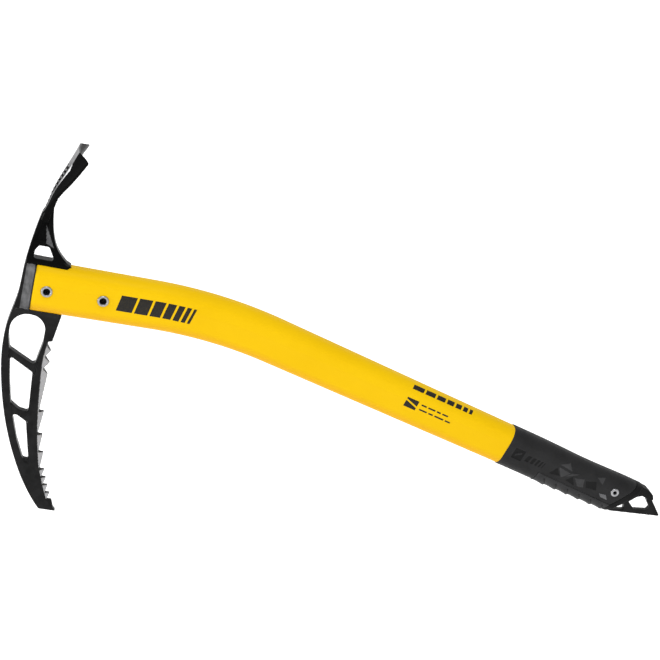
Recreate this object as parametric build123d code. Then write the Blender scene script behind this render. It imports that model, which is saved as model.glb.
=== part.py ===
from build123d import *
import os
from math import cos, radians, sin, tan

# A short technical ice axe, in millimetres.
# The origin is the centre of the shaft tube's head end. +X runs down the straight upper length of
# the shaft, +Z points to the adze and -Z to the pick, and Y is across the axe.

# Shaft: an oval tube that is straight, bends once towards the pick and is straight again.
BEND_CORNER_X = 120.0
BEND_ANGLE = 15.0
BEND_RADIUS = 320.0
HEAD_HEIGHT = 33.4
HEAD_WIDTH = 20.0
GRIP_START = 224.0
SLEEVED_HEIGHT = 28.6
SLEEVED_WIDTH = 19.0
END_HEIGHT = 25.6
END_WIDTH = 18.0
SHAFT_END = 350.0
WALL = 1.6
CREASE_RISE = 3.6
SHOULDER_SHARE = 0.9
CORNER_SHARE = 0.82

# The lower end is cut at a slant. Places on the lower shaft are (s, n): s runs from the bend's
# corner down the shaft, n is square to it, towards the adze side.
END_FACE_AT = 323.6
END_FACE_TILT = 57.7
LIP_THICKNESS = 4.2
GRIP_WALL_FRONT = 0.5
GRIP_WALL_END = 1.0
GRIP_FLARE = 0.4
GRIP_END = 345.0

# Tubular rivets.
RIVET_SHANK_R = 3.0
RIVET_BORE_R = 2.1
RIVET_RING_R = 3.8
RIVET_RING_HEIGHT = 0.8
HEAD_RIVET_HALF = 9.9
HEAD_RIVETS_X = (8.7, 45.0)
SPIKE_RIVET_AT = (312.2, 3.0)
SPIKE_RIVET_SHANK_R = 2.2
SPIKE_RIVET_BORE_R = 1.1
SPIKE_RIVET_RING_R = 3.1
SPIKE_RIVET_HALF = 9.9

# Head: one forging with the pick, the adze and a tang inside the tube.
RAIL_THICKNESS = 9.0
TIP_THICKNESS = 4.4
TAPER_FROM_Z = -60.0
TIP_Z = -158.0
WEB_THICKNESS = 6.2
WEB_FROM_Z = 16.7
WEB_TO_Z = 19.5
WEB_TOP_Z = 75.0
TOOTH_EDGE = 0.9
TOOTH_BEVEL_IN = 1.5
TOOTH_BEVEL_OUT = 5.0
RECESS_FLOOR = 3.1
RECESS_SPREAD = 1.04
POCKET_SPREAD = 1.9
PANEL_CLEARANCE = 0.4
POCKET_FLOOR = 1.7
TANG_LENGTH = 60.0
TANG_THICKNESS = 6.0
TANG_HEIGHT = 22.0
TUBE_GAP = 0.1
SHIM_BLANK = 6.0

# Finger pad under the grip.
PAD_START = 254.0
PAD_LINE_FRONT = -6.0
PAD_LINE_REAR = -7.2
PAD_WALL = 2.0
PAD_WALL_FRONT = 1.4
PAD_SLANT = 6.0
SCALLOP_PITCH = 9.9
SCALLOP_RADIUS = 7.0
SCALLOP_DEPTH = 1.0
SCALLOP_COUNT = 6

# Spike: a flat plate with a karabiner hole.
SPIKE_THICKNESS = 4.0
SPIKE_SLOT = 4.02
PLUG_START = 268.0

# Larger than any piece is across, for the shapes that only cut.
FAR = 30.0

TANGENT = BEND_RADIUS * tan(radians(BEND_ANGLE / 2))
DOWN = Vector(cos(radians(BEND_ANGLE)), 0, -sin(radians(BEND_ANGLE)))
SIDE = Vector(sin(radians(BEND_ANGLE)), 0, cos(radians(BEND_ANGLE)))
CORNER = Vector(BEND_CORNER_X, 0, 0)
LENGTH_TO_GRIP = BEND_CORNER_X + BEND_RADIUS * radians(BEND_ANGLE) + GRIP_START - 2 * TANGENT


def lower(s, n):
    """The (x, z) of a place on the lower shaft."""
    place = CORNER + DOWN * s + SIDE * n
    return place.X, place.Z


def flat(points, thickness, radius=0.0, centre=0.0):
    """A plate with its outline given as (x, z) points, centred on y = centre. Its corners are rounded
    to radius, one number for all of them or a list."""
    if radius:
        outline = FilletPolyline(*points, radius=radius, close=True)
    else:
        outline = Polyline(*points, close=True)
    return slab(make_face(outline), thickness, centre)


def slab(sketch, thickness, centre=0.0):
    """Extrudes a sketch drawn in (x, z) to both sides of y = centre."""
    face = side_plane(centre) * sketch
    return extrude(face, thickness / 2, both=True)


def side_plane(y):
    """The plane across Y in which a sketch's (x, y) are the axe's (x, z)."""
    return Plane(origin=(0, y, 0), x_dir=(1, 0, 0), z_dir=(0, -1, 0))


def lower_flat(points, thickness, radius=0.0):
    """A plate whose outline is given as (s, n) places on the lower shaft."""
    return flat([lower(s, n) for s, n in points], thickness, radius)


# ---------------------------------------------------------------- shaft

def upper_plane(x):
    return Plane(origin=(x, 0, 0), x_dir=(0, 1, 0), z_dir=(1, 0, 0))


def bend_plane(angle):
    """The plane square to the shaft's axis, that many degrees into the bend."""
    turn = radians(angle)
    x = BEND_CORNER_X - TANGENT + BEND_RADIUS * sin(turn)
    z = BEND_RADIUS * (cos(turn) - 1)
    return Plane(origin=(x, 0, z), x_dir=(0, 1, 0), z_dir=(cos(turn), 0, -sin(turn)))


def lower_plane(s):
    x, z = lower(s, 0)
    return Plane(origin=(x, 0, z), x_dir=(0, 1, 0), z_dir=tuple(DOWN))


def section(plane, height, width):
    """The shaft's section: rounded top and bottom, and a crease along each side above the middle."""
    half_height, half_width = height / 2, width / 2
    shoulder = SHOULDER_SHARE * half_width
    right = [(shoulder, half_height), (half_width, CREASE_RISE), (shoulder, -half_height)]
    left = [(-y, z) for y, z in reversed(right)]
    sketch = Polygon(*right, *left)
    corners = [v for v in sketch.vertices() if abs(v.Y) > half_height - 0.01]
    return plane * fillet(corners, CORNER_SHARE * half_width)


def station(plane, along, inset):
    """The section a distance along the axis from the head, where the tube tapers to the grip."""
    share = along / LENGTH_TO_GRIP
    height = HEAD_HEIGHT + (SLEEVED_HEIGHT - HEAD_HEIGHT) * share
    width = HEAD_WIDTH + (SLEEVED_WIDTH - HEAD_WIDTH) * share
    return section(plane, height - 2 * inset, width - 2 * inset)


def sleeved_size(s):
    """Height and width of the tube under the grip, at s along the lower shaft."""
    share = (s - GRIP_START) / (SHAFT_END - GRIP_START)
    height = SLEEVED_HEIGHT + (END_HEIGHT - SLEEVED_HEIGHT) * share
    width = SLEEVED_WIDTH + (END_WIDTH - SLEEVED_WIDTH) * share
    return height, width


def shaft_solid(inset=0.0):
    """The solid inside the tube's outer skin, less inset all round."""
    straight = BEND_CORNER_X - TANGENT
    bend = []
    for step in range(5):
        angle = BEND_ANGLE * step / 4
        bend.append(station(bend_plane(angle), straight + BEND_RADIUS * radians(angle), inset))
    head = station(upper_plane(0), 0, inset)
    grip = station(lower_plane(GRIP_START), LENGTH_TO_GRIP, inset)
    height, width = sleeved_size(SHAFT_END)
    end = section(lower_plane(SHAFT_END), height - 2 * inset, width - 2 * inset)
    upper = loft([head, bend[0]], ruled=True)
    under = loft([bend[-1], grip, end], ruled=True)
    return upper + loft(bend) + under


def end_plane(back=0.0):
    """The slanted plane at the lower end, moved back along its own normal."""
    tilt = radians(END_FACE_TILT)
    normal = DOWN * sin(tilt) - SIDE * cos(tilt)
    x, z = lower(END_FACE_AT, 0)
    origin = Vector(x, 0, z) - normal * back
    return Plane(origin=tuple(origin), x_dir=(0, 1, 0), z_dir=tuple(normal))


def behind(solid, plane):
    """The part of the solid on the side that the plane's normal points away from."""
    return split(solid, bisect_by=plane, keep=Keep.BOTTOM)


def beyond(solid, plane):
    return split(solid, bisect_by=plane, keep=Keep.TOP)


def cross_pin(radius, x, z, length=40.0):
    """A round bar across the axe, along Y."""
    return Pos(x, 0, z) * extrude(side_plane(0) * Circle(radius), length / 2, both=True)


def ring_seat(radius, x, z, half_width):
    """The space outside half_width on both sides, for a rivet's rings."""
    bar = cross_pin(radius, x, z)
    return bar - cross_pin(radius + 1, x, z, 2 * half_width)


# A ring's rounded top, from its outside in: (across, up) as shares of half its breadth and its height.
RING_PROFILE = [(0.8, 0.55), (0.2, 1.0), (-0.7, 0.75), (-1.0, 0.2)]


def rivet(x, z, half_width, shank, bore, ring):
    """A tubular rivet along Y, flared into a raised ring at each end."""
    crown = (ring + bore) / 2
    sides = [(bore, 0), (shank, 0), (shank, half_width), (ring, half_width)]
    for reach, rise in RING_PROFILE:
        sides.append((crown + reach * (ring - bore) / 2, half_width + rise * RIVET_RING_HEIGHT))
    half = revolve(Plane.XY * Polygon(*sides), Axis.Y)
    whole = half + mirror(half, Plane.XZ)
    return Pos(x, 0, z) * whole


# ---------------------------------------------------------------- head

SPINE = [(-2.3, 50), (-6.4, 27), (-8.1, 10), (-8.9, -7), (-12.5, -27), (-13.3, -38),
         (-10.4, -67), (-2.3, -99.5), (7, -123.5), (19.5, -146.5), (28.3, TIP_Z)]
RAIL_EDGE = [(32.4, -150.3), (28.2, -140), (23.8, -127.5), (20.8, -115), (18.5, -102), (16.2, -84),
             (14.4, -64), (13.8, -50), (15.2, -36)]
WEB_EDGE = [(20.8, 17), (14.5, 22.6), (10.5, 28), (7.8, 34.5), (5.8, 43), (4.7, 52), (4.0, 60)]
PICK_POINT = (40.0, TIP_Z)
POINT_EDGE = (38.2, -156.6)
TUBE_HALF = HEAD_HEIGHT / 2


def head_profile():
    """The forging's outline seen from the side, with the tube's seat cut into it."""
    spine = Spline(*SPINE)
    tip = Polyline(SPINE[-1], PICK_POINT, RAIL_EDGE[0])
    rail = Spline(*RAIL_EDGE)
    seat = Polyline(
        RAIL_EDGE[-1],
        (18, -35.4),
        (21, -TUBE_HALF),
        (-TUBE_GAP, -TUBE_HALF),
        (-TUBE_GAP, TUBE_HALF),
        (21.5, TUBE_HALF),
        WEB_EDGE[0],
    )
    web = Spline(*WEB_EDGE)
    close = Line(WEB_EDGE[-1], SPINE[0])
    return make_face([spine, tip, rail, seat, web, close])


# Through windows of the pick and of the adze's web, as (x, z) corners with a radius for each.
BIG_WINDOW = (
    [(-10.3, -19.3), (12.2, -19.3), (12.2, -38), (9.2, -54.4), (-8.3, -45.2), (-10.3, -36)],
    [10.8, 10.4, 6, 1.8, 3.6, 6],
)
MIDDLE_WINDOW = (
    [(-7.2, -50.5), (8.8, -59.6), (10.6, -88.4), (4.4, -87.4), (-1.6, -83.2), (-4.8, -67.5)],
    [1.2, 1.2, 1.5, 4, 2, 8],
)
LOWER_WINDOW = (
    [(0.7, -91.6), (3.6, -91.4), (10.2, -95.2), (16.1, -122.6), (12.2, -122.4), (6.2, -109)],
    [1, 1.4, 1.6, 0.9, 0.8, 10],
)
WEB_WINDOW = (
    [(-3.1, 19.0), (-2.7, 24.2), (-0.7, 27.4), (5.8, 27.4), (10.3, 18.8)],
    [1.1, 1, 1, 1.2, 1.2],
)

# The cross braces between the windows and the pit under the lower window lie below the rails.
RECESSES = [
    [(-8.9, -40), (11.2, -51), (9.9, -63.5), (-7.4, -54)],
    [(-3.3, -77), (11, -82), (11.2, -98), (1.4, -95)],
    [(10.6, -118), (15.8, -118), (16.9, -125.4), (13.4, -124.4)],
]

# The teeth's tips from the shaft down to the point, and the depth of the notches before them.
FRONT_TEETH = [(18.4, -43.2), (19.1, -51.6)]
FRONT_ROOTS = [(15.0, -47.4), (15.2, -56.0)]
BACK_TEETH = [(18.8, -59.6), (20.8, -86.5), (22.5, -103.2), (25.2, -116.0), (27.9, -128.6),
              (29.9, -134.2), (31.8, -139.7), (34.2, -145.2), (36.0, -150.2)]
NOTCH_DEPTH = 3.4
TOOTH_HOOK = 0.6
TEETH_TOP = (15.6, -33)
TEETH_BACK = [(30, -156.6), (26, -151), (10, -100)]
FOOT_END = [(10, -36), (15.6, -36), (15.4, -39.4)]


def half_thickness(z):
    """Half the pick's thickness at a height."""
    share = min(1, max(0, (TAPER_FROM_Z - z) / (TAPER_FROM_Z - TIP_Z)))
    return (RAIL_THICKNESS + (TIP_THICKNESS - RAIL_THICKNESS) * share) / 2


def tooth_wedge():
    """The bevelled ridge along the toothed rail, in which the teeth are cut."""
    edge = [TEETH_TOP, *reversed(RAIL_EDGE), PICK_POINT]
    faces = []
    for x, z in edge:
        root, top = half_thickness(z), TOOTH_EDGE / 2
        ridge = [(x - TOOTH_BEVEL_IN, -root), (x + TOOTH_BEVEL_OUT, -top),
                 (x + TOOTH_BEVEL_OUT, top), (x - TOOTH_BEVEL_IN, root)]
        faces.append(Plane(origin=(0, 0, z)) * Polygon(*ridge, align=None))
    return loft(faces, ruled=True)


def teeth():
    """The bevelled teeth outside the rail, from the shaft's foot to the point."""
    outline = list(FOOT_END)
    for tip, root in zip(FRONT_TEETH, FRONT_ROOTS):
        outline += [tip, root]
    for tip, (next_x, next_z) in zip(BACK_TEETH, BACK_TEETH[1:]):
        outline += [tip, (next_x - NOTCH_DEPTH, next_z - TOOTH_HOOK)]
    outline += [BACK_TEETH[-1], POINT_EDGE, *TEETH_BACK]
    return flat(outline, RAIL_THICKNESS) & tooth_wedge()


def side_cut(sign, edge):
    """Trims one side of the head outside a line of (half thickness, z) places."""
    wedge = [(sign * y, z) for y, z in edge]
    wedge += [(sign * FAR, edge[-1][1]), (sign * FAR, edge[0][1])]
    return extrude(upper_plane(0) * Polygon(*wedge, align=None), 2 * FAR, both=True)


def thin_sides():
    """The pick thins evenly to its point, and the adze's web is thinner than the rails."""
    rail, web, below = RAIL_THICKNESS / 2, WEB_THICKNESS / 2, TIP_Z - FAR
    point = half_thickness(TIP_Z)
    cut = None
    for sign in (-1, 1):
        pick = side_cut(sign, [(rail, TAPER_FROM_Z), (point, TIP_Z), (point, below)])
        adze_web = side_cut(sign, [(rail, WEB_FROM_Z), (web, WEB_TO_Z), (web, WEB_TOP_Z)])
        pair = pick + adze_web
        cut = pair if cut is None else cut + pair
    return cut


# The flare beside the tube's end: (x, width, height) from the narrow spine to the tube.
COLLAR = [(-7.2, 8.8, 2 * TUBE_HALF + 1), (-5.2, 10.0, 2 * TUBE_HALF), (-3.4, 12.4, 2 * TUBE_HALF - 0.6),
          (-1.9, 15.8, 2 * TUBE_HALF - 1.4), (-0.8, 19.0, 2 * TUBE_HALF - 2.4),
          (-TUBE_GAP, 19.2, 2 * TUBE_HALF - 2.6)]


def collar():
    """The hollow flare from the narrow spine out to the tube's full width."""
    faces = [upper_plane(x) * RectangleRounded(width, height, 4) for x, width, height in COLLAR]
    return loft(faces, ruled=True)


# The flanges along the tube: (z, heel x, toe x, half width) of each level.
UPPER_FOOT = [(TUBE_HALF - 1.4, -7.4, 21.6, 6.0), (TUBE_HALF + 0.7, -7.4, 21.4, 5.8),
              (TUBE_HALF + 3.0, -7.2, 16.6, 3.2)]
LOWER_FOOT = [(-TUBE_HALF + 1.0, -8.6, 20.8, 6.0), (-TUBE_HALF - 2.4, -9.4, 20.4, 4.6)]
TOE_START = 0.4
TOE_TIP = 0.6


def foot(levels):
    """A flange along the tube, narrowing to a blunt toe."""
    faces = []
    for z, heel, toe, half in levels:
        side = [(heel, half), (toe - TOE_START * half, half), (toe, TOE_TIP * half)]
        mirrored = [(x, -y) for x, y in reversed(side)]
        faces.append(Plane(origin=(0, 0, z)) * Polygon(*side, *mirrored, align=None))
    return loft(faces, ruled=True)


def feet():
    """The two flanges that lie along the tube, on the adze side and on the pick side."""
    return foot(UPPER_FOOT) + foot(LOWER_FOOT) - shaft_solid()


def recessed(outline, floor, face, spread):
    """Sunk panels on both sides with sloped walls, from face down to floor."""
    centre = sum(x for x, z in outline) / len(outline)
    wider = [(centre + (x - centre) * spread, z) for x, z in outline]
    cut = None
    for sign in (-1, 1):
        low = side_plane(sign * floor) * make_face(Polyline(*outline, close=True))
        high = side_plane(sign * face) * make_face(Polyline(*wider, close=True))
        panel = loft([low, high], ruled=True)
        cut = panel if cut is None else cut + panel
    return cut


WEB_POCKET = [(-3.4, 30.2), (0.6, 44), (2.6, 44), (4.0, 36), (6.4, 30.2)]


# The adze's blade: (x, z) of its crown line, lean from +Z in degrees, half width of its crown, how far
# the crown's edges sag, half width of the whole blade, how far the wings droop, and the thickness.
ADZE_STATIONS = [
    (-2.7, 45.0, 13.0, 2.2, 0.2, 4.4, 0.5, 4.6),
    (-1.3, 52.8, 14.0, 3.6, 0.5, 5.6, 1.1, 4.4),
    (1.5, 63.9, 17.0, 6.6, 1.0, 11.0, 2.4, 2.4),
    (4.05, 70.9, 20.0, 8.6, 1.3, 15.6, 3.1, 1.9),
    (6.75, 77.85, 22.0, 10.0, 1.4, 19.4, 4.0, 1.8),
    (10.3, 86.3, 25.0, 11.0, 1.1, 23.0, 4.8, 1.5),
    (13.9, 94.5, 30.0, 11.5, 0.5, 23.9, 5.8, 1.0),
    (14.3, 95.1, 31.0, 11.5, 0.4, 22.8, 5.6, 0.8),
]


def adze():
    """The blade lofted through its sections, each square to the crown line."""
    faces = []
    for x, z, lean, crown, sag, half, droop, thick in ADZE_STATIONS:
        turn = radians(lean)
        along = (sin(turn), 0, cos(turn))
        plane = Plane(origin=(x, 0, z), x_dir=(0, 1, 0), z_dir=along)
        top = [(-half, -droop), (-crown, -sag), (0, 0), (crown, -sag), (half, -droop)]
        low = [(y, n - thick) for y, n in reversed(top)]
        faces.append(plane * Polygon(*top, *low, align=None))
    return loft(faces, ruled=True)


def tang():
    """The tongue inside the tube."""
    half = TANG_HEIGHT / 2
    outline = [(-3, -half), (TANG_LENGTH - 8, -half), (TANG_LENGTH, -half + 6), (TANG_LENGTH, half - 6),
               (TANG_LENGTH - 8, half), (-3, half)]
    return flat(outline, TANG_THICKNESS)


def head_forging():
    rail_face = RAIL_THICKNESS / 2 + PANEL_CLEARANCE
    body = slab(head_profile(), RAIL_THICKNESS)
    body -= thin_sides()
    for outline in RECESSES:
        floor = RECESS_FLOOR * half_thickness(outline[0][1]) / half_thickness(0)
        body -= recessed(outline, floor, rail_face, RECESS_SPREAD)
    body += teeth()
    body += feet()
    body += collar()
    body -= recessed(WEB_POCKET, POCKET_FLOOR, rail_face, POCKET_SPREAD)
    body += adze()
    body += tang()
    for corners, radii in (BIG_WINDOW, MIDDLE_WINDOW, LOWER_WINDOW, WEB_WINDOW):
        body -= flat(corners, 40, radii)
    for x in HEAD_RIVETS_X:
        body -= cross_pin(RIVET_SHANK_R, x, 0)
    return body


# ---------------------------------------------------------------- shaft pieces

def shaft_tube():
    """The bent oval tube, drilled for the rivets and cut at a slant under the lip."""
    tube = shaft_solid() - shaft_solid(WALL)
    tube = behind(tube, end_plane(LIP_THICKNESS))
    for x in HEAD_RIVETS_X:
        tube -= cross_pin(RIVET_SHANK_R, x, 0) + ring_seat(RIVET_RING_R, x, 0, HEAD_RIVET_HALF)
    tube -= cross_pin(SPIKE_RIVET_SHANK_R, *lower(*SPIKE_RIVET_AT))
    return tube


def tang_shim(sign):
    """A moulded packer that fills the space between the tang and one side of the tube."""
    inside = TANG_THICKNESS / 2 + TUBE_GAP
    half = TANG_HEIGHT / 2 - 1
    bar = flat([(2, -half), (TANG_LENGTH, -half), (TANG_LENGTH, half), (2, half)], SHIM_BLANK, 0,
               sign * (inside + SHIM_BLANK / 2))
    shim = bar & shaft_solid(WALL + TUBE_GAP)
    for x in HEAD_RIVETS_X:
        shim -= cross_pin(RIVET_SHANK_R, x, 0)
    return shim


def head_rivet(x):
    return rivet(x, 0, HEAD_RIVET_HALF, RIVET_SHANK_R, RIVET_BORE_R, RIVET_RING_R)


# ---------------------------------------------------------------- grip

def grip_skin(extra_front, extra_end, start, end):
    """A solid round the lower shaft. It stands out by extra_front at start, and by extra_end from
    GRIP_FLARE of its length on."""
    faces = []
    for share, extra in ((0, extra_front), (GRIP_FLARE, extra_end), (1, extra_end)):
        s = start + (end - start) * share
        height, width = sleeved_size(s)
        faces.append(section(lower_plane(s), height + 2 * extra, width + 2 * extra))
    return loft(faces, ruled=True)


def pad_region():
    """Everything below the seam along the grip, on the pick side."""
    seam = [(PAD_START, PAD_LINE_FRONT), (GRIP_END, PAD_LINE_REAR)]
    return lower_flat([*seam, (GRIP_END, -FAR), (PAD_START - PAD_SLANT, -FAR)], 2 * FAR)


def finger_pad():
    """The scalloped pad under the fingers, between the grip's side seams."""
    skin = grip_skin(PAD_WALL_FRONT, PAD_WALL, PAD_START - PAD_SLANT, GRIP_END)
    pad = skin & pad_region()
    pad = behind(pad, end_plane(LIP_THICKNESS))
    for index in range(SCALLOP_COUNT):
        s = PAD_START + (index + 0.65) * SCALLOP_PITCH
        height, width = sleeved_size(s)
        bottom = height / 2 + PAD_WALL
        pad -= cross_pin(SCALLOP_RADIUS, *lower(s, SCALLOP_DEPTH - bottom - SCALLOP_RADIUS))
    return pad - shaft_solid()


def grip_sleeve():
    """The moulded grip round the tube, with a recess for the finger pad."""
    skin = grip_skin(GRIP_WALL_FRONT, GRIP_WALL_END, GRIP_START, GRIP_END)
    grip = behind(skin, end_plane(LIP_THICKNESS)) - shaft_solid()
    grip -= pad_region()
    grip -= ring_seat(SPIKE_RIVET_RING_R, *lower(*SPIKE_RIVET_AT), SPIKE_RIVET_HALF)
    return grip - cross_pin(SPIKE_RIVET_SHANK_R, *lower(*SPIKE_RIVET_AT))


# ---------------------------------------------------------------- spike

SPIKE_OUTLINE = [(319.6, -13.7), (356.9, -2.0), (345.2, 6.7), (343.0, 9.8), (338, 11.2), (326, 8),
                 (286, 8), (286, -5), (316, -6)]
KARABINER_HOLE = (
    [(329.8, -1.4), (336.6, -5.0), (345.6, -1.6), (346.2, 1.0), (341.8, 4.4), (340.0, 7.4), (335.2, 7.0)],
    [0.6, 0.8, 0.8, 0.6, 0.8, 0.6, 0.6],
)
SMALL_HOLE = [(321.0, -11.6), (329.4, -8.4), (327.6, -4.0)]
NOSE = [(316, 13.6), (331.6, 13.4), (337.6, 13.0), (342.4, 11.0), (344.6, 8), (343.0, 6.4), (335.4, 7.2),
        (322, -2)]
NOSE_THICKNESS = 9.0


def spike_plate():
    """The flat steel spike with its karabiner hole and its tang."""
    plate = lower_flat(SPIKE_OUTLINE, SPIKE_THICKNESS, 0.8)
    corners, radii = KARABINER_HOLE
    plate -= lower_flat(corners, 20, radii)
    plate -= lower_flat(SMALL_HOLE, 20, 0.5)
    return plate - cross_pin(SPIKE_RIVET_SHANK_R, *lower(*SPIKE_RIVET_AT))


def spike_plug():
    """The moulded plug that holds the spike in the tube, with the slanted lip and the nose."""
    reach = [(PLUG_START, -FAR), (SHAFT_END, -FAR), (SHAFT_END, FAR), (PLUG_START, FAR)]
    core = shaft_solid(WALL + TUBE_GAP) & lower_flat(reach, 2 * FAR)
    plug = behind(core, end_plane(LIP_THICKNESS))
    skin = grip_skin(GRIP_WALL_FRONT, GRIP_WALL_END, GRIP_START, SHAFT_END)
    plug += beyond(behind(skin, end_plane()), end_plane(LIP_THICKNESS))
    plug += beyond(lower_flat(NOSE, NOSE_THICKNESS, 0.6), end_plane(LIP_THICKNESS))
    plug -= spike_space()
    return plug - cross_pin(SPIKE_RIVET_SHANK_R, *lower(*SPIKE_RIVET_AT))


def spike_space():
    """The slot that the spike's plate sits in."""
    return lower_flat(SPIKE_OUTLINE, SPIKE_SLOT, 0.8)


def spike_rivet():
    x, z = lower(*SPIKE_RIVET_AT)
    return rivet(x, z, SPIKE_RIVET_HALF, SPIKE_RIVET_SHANK_R, SPIKE_RIVET_BORE_R, SPIKE_RIVET_RING_R)


# ---------------------------------------------------------------- write

def save(name, shape):
    os.makedirs("parts", exist_ok=True)
    shape.label = name
    export_step(shape, os.path.join("parts", name + ".step"))


PIECES = {
    "head_forging": head_forging,
    "shaft_tube": shaft_tube,
    "tang_shim_left": lambda: tang_shim(-1),
    "tang_shim_right": lambda: tang_shim(1),
    "head_rivet_front": lambda: head_rivet(HEAD_RIVETS_X[0]),
    "head_rivet_rear": lambda: head_rivet(HEAD_RIVETS_X[1]),
    "grip_sleeve": grip_sleeve,
    "finger_pad": finger_pad,
    "spike_plug": spike_plug,
    "spike_plate": spike_plate,
    "spike_rivet": spike_rivet,
}

if __name__ == "__main__":
    for node, build in PIECES.items():
        save(node, build())
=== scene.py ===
import math

import bmesh
import bpy
import numpy as np
from mathutils import Matrix, Vector


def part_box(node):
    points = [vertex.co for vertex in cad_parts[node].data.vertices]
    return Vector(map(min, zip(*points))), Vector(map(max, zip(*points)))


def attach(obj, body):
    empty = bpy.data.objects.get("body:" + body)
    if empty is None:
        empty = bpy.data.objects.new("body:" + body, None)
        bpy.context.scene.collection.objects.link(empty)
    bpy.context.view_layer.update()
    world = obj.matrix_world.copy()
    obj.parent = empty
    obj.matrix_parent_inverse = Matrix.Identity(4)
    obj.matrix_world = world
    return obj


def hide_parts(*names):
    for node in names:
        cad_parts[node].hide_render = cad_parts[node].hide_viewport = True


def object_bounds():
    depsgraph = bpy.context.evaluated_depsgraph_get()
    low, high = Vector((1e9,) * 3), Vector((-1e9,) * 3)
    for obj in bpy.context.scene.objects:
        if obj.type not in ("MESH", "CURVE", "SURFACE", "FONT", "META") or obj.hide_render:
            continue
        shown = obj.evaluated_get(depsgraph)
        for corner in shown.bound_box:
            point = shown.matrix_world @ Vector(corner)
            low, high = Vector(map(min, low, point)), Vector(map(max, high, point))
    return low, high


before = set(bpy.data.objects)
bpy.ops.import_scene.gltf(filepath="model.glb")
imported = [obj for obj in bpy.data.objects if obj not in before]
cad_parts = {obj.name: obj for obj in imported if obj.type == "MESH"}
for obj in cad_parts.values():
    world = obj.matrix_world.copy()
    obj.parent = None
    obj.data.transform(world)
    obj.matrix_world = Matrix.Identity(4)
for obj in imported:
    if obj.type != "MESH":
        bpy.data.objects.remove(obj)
cad_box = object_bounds()

MM = 0.001

# The shaft in millimetres, as the CAD model has it: straight, one bend, straight.
BEND_CORNER_X = 120.0
BEND_ANGLE = math.radians(15.0)
BEND_RADIUS = 320.0
HEAD_HEIGHT, HEAD_WIDTH = 33.4, 20.0
GRIP_START = 224.0
SLEEVED_HEIGHT, SLEEVED_WIDTH = 28.6, 19.0
END_HEIGHT, END_WIDTH = 25.6, 18.0
SHAFT_END = 350.0
WALL = 1.6
CREASE_RISE = 3.6
SHOULDER_SHARE = 0.9
CORNER_SHARE = 0.82
END_FACE_AT = 323.6
END_FACE_TILT = math.radians(57.7)
LIP_THICKNESS = 4.2
GROOVE_AT = END_FACE_AT - LIP_THICKNESS / math.sin(END_FACE_TILT)
# The rivets: their rings, bores and seats, and the holes that they pass through.
RIVET_RING_R, RIVET_BORE_R, RIVET_HOLE_R = 3.8, 2.1, 3.0
SPIKE_RIVET_RING_R, SPIKE_RIVET_BORE_R, SPIKE_RIVET_HOLE_R = 3.1, 1.1, 2.2
RIVET_SEAT = 9.9
HEAD_RIVETS_X = (8.7, 45.0)
SPIKE_RIVET_AT = (312.2, 3.0)
DRILL_LENGTH = 40

TANGENT = BEND_RADIUS * math.tan(BEND_ANGLE / 2)
BEND_FROM = BEND_CORNER_X - TANGENT
BEND_LENGTH = BEND_RADIUS * BEND_ANGLE
LENGTH_TO_GRIP = BEND_CORNER_X + BEND_LENGTH + GRIP_START - 2 * TANGENT
LOWER_OFFSET = LENGTH_TO_GRIP - GRIP_START


# ---------------------------------------------------------------- mesh helpers

def add_piece(name, points, faces, slot, *materials):
    """A mesh from points in millimetres, riding on the axe's one body."""
    mesh = bpy.data.meshes.new(name)
    mesh.from_pydata([tuple(MM * c for c in p) for p in points], [], faces)
    mesh.validate()
    piece = bpy.data.objects.new(name, mesh)
    bpy.context.scene.collection.objects.link(piece)
    tidy_normals(piece)
    return finish_piece(piece, slot, *materials)


def tidy_normals(piece):
    """Turns every face of a closed mesh outward."""
    shape = bmesh.new()
    shape.from_mesh(piece.data)
    bmesh.ops.recalc_face_normals(shape, faces=shape.faces)
    shape.to_mesh(piece.data)
    shape.free()


def finish_piece(piece, slot, *materials):
    """Gives the piece its materials and smooth shading and puts it on its body; the slot is not used."""
    piece.data.materials.clear()
    for material in materials:
        piece.data.materials.append(material)
    piece.data.polygons.foreach_set("use_smooth", [True] * len(piece.data.polygons))
    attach(piece, "root")
    return piece


def loop_faces(rows, count, closed_rows):
    """Quads between rings of count points each, row after row."""
    faces = []
    last = rows if closed_rows else rows - 1
    for row in range(last):
        here, there = row * count, (row + 1) % rows * count
        for i in range(count):
            j = (i + 1) % count
            faces.append((here + i, here + j, there + j, there + i))
    return faces


def refined(node, name, voxel, smoothing):
    """A copy of a CAD node with its edges rounded off, as forging, moulding and coating leave them."""
    piece = bpy.data.objects.new(name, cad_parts[node].data.copy())
    bpy.context.scene.collection.objects.link(piece)
    shape = bmesh.new()
    shape.from_mesh(piece.data)
    bmesh.ops.remove_doubles(shape, verts=shape.verts, dist=1e-6)
    shape.to_mesh(piece.data)
    shape.free()
    remesh = piece.modifiers.new("remesh", "REMESH")
    remesh.mode, remesh.voxel_size = "VOXEL", voxel * MM
    smooth = piece.modifiers.new("smooth", "SMOOTH")
    smooth.factor, smooth.iterations = 0.5, smoothing
    rounded = bpy.data.meshes.new_from_object(piece.evaluated_get(bpy.context.evaluated_depsgraph_get()))
    piece.modifiers.clear()
    piece.data = rounded
    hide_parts(node)
    return piece


def points_of(piece):
    """The mesh's points and normals, in millimetres."""
    count = len(piece.data.vertices)
    points, normals = np.zeros(3 * count), np.zeros(3 * count)
    piece.data.vertices.foreach_get("co", points)
    piece.data.vertices.foreach_get("normal", normals)
    return points.reshape(-1, 3) / MM, normals.reshape(-1, 3)


def set_points(piece, points):
    """Moves the mesh's points to places in millimetres."""
    piece.data.vertices.foreach_set("co", (points * MM).ravel())
    piece.data.update()


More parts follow.
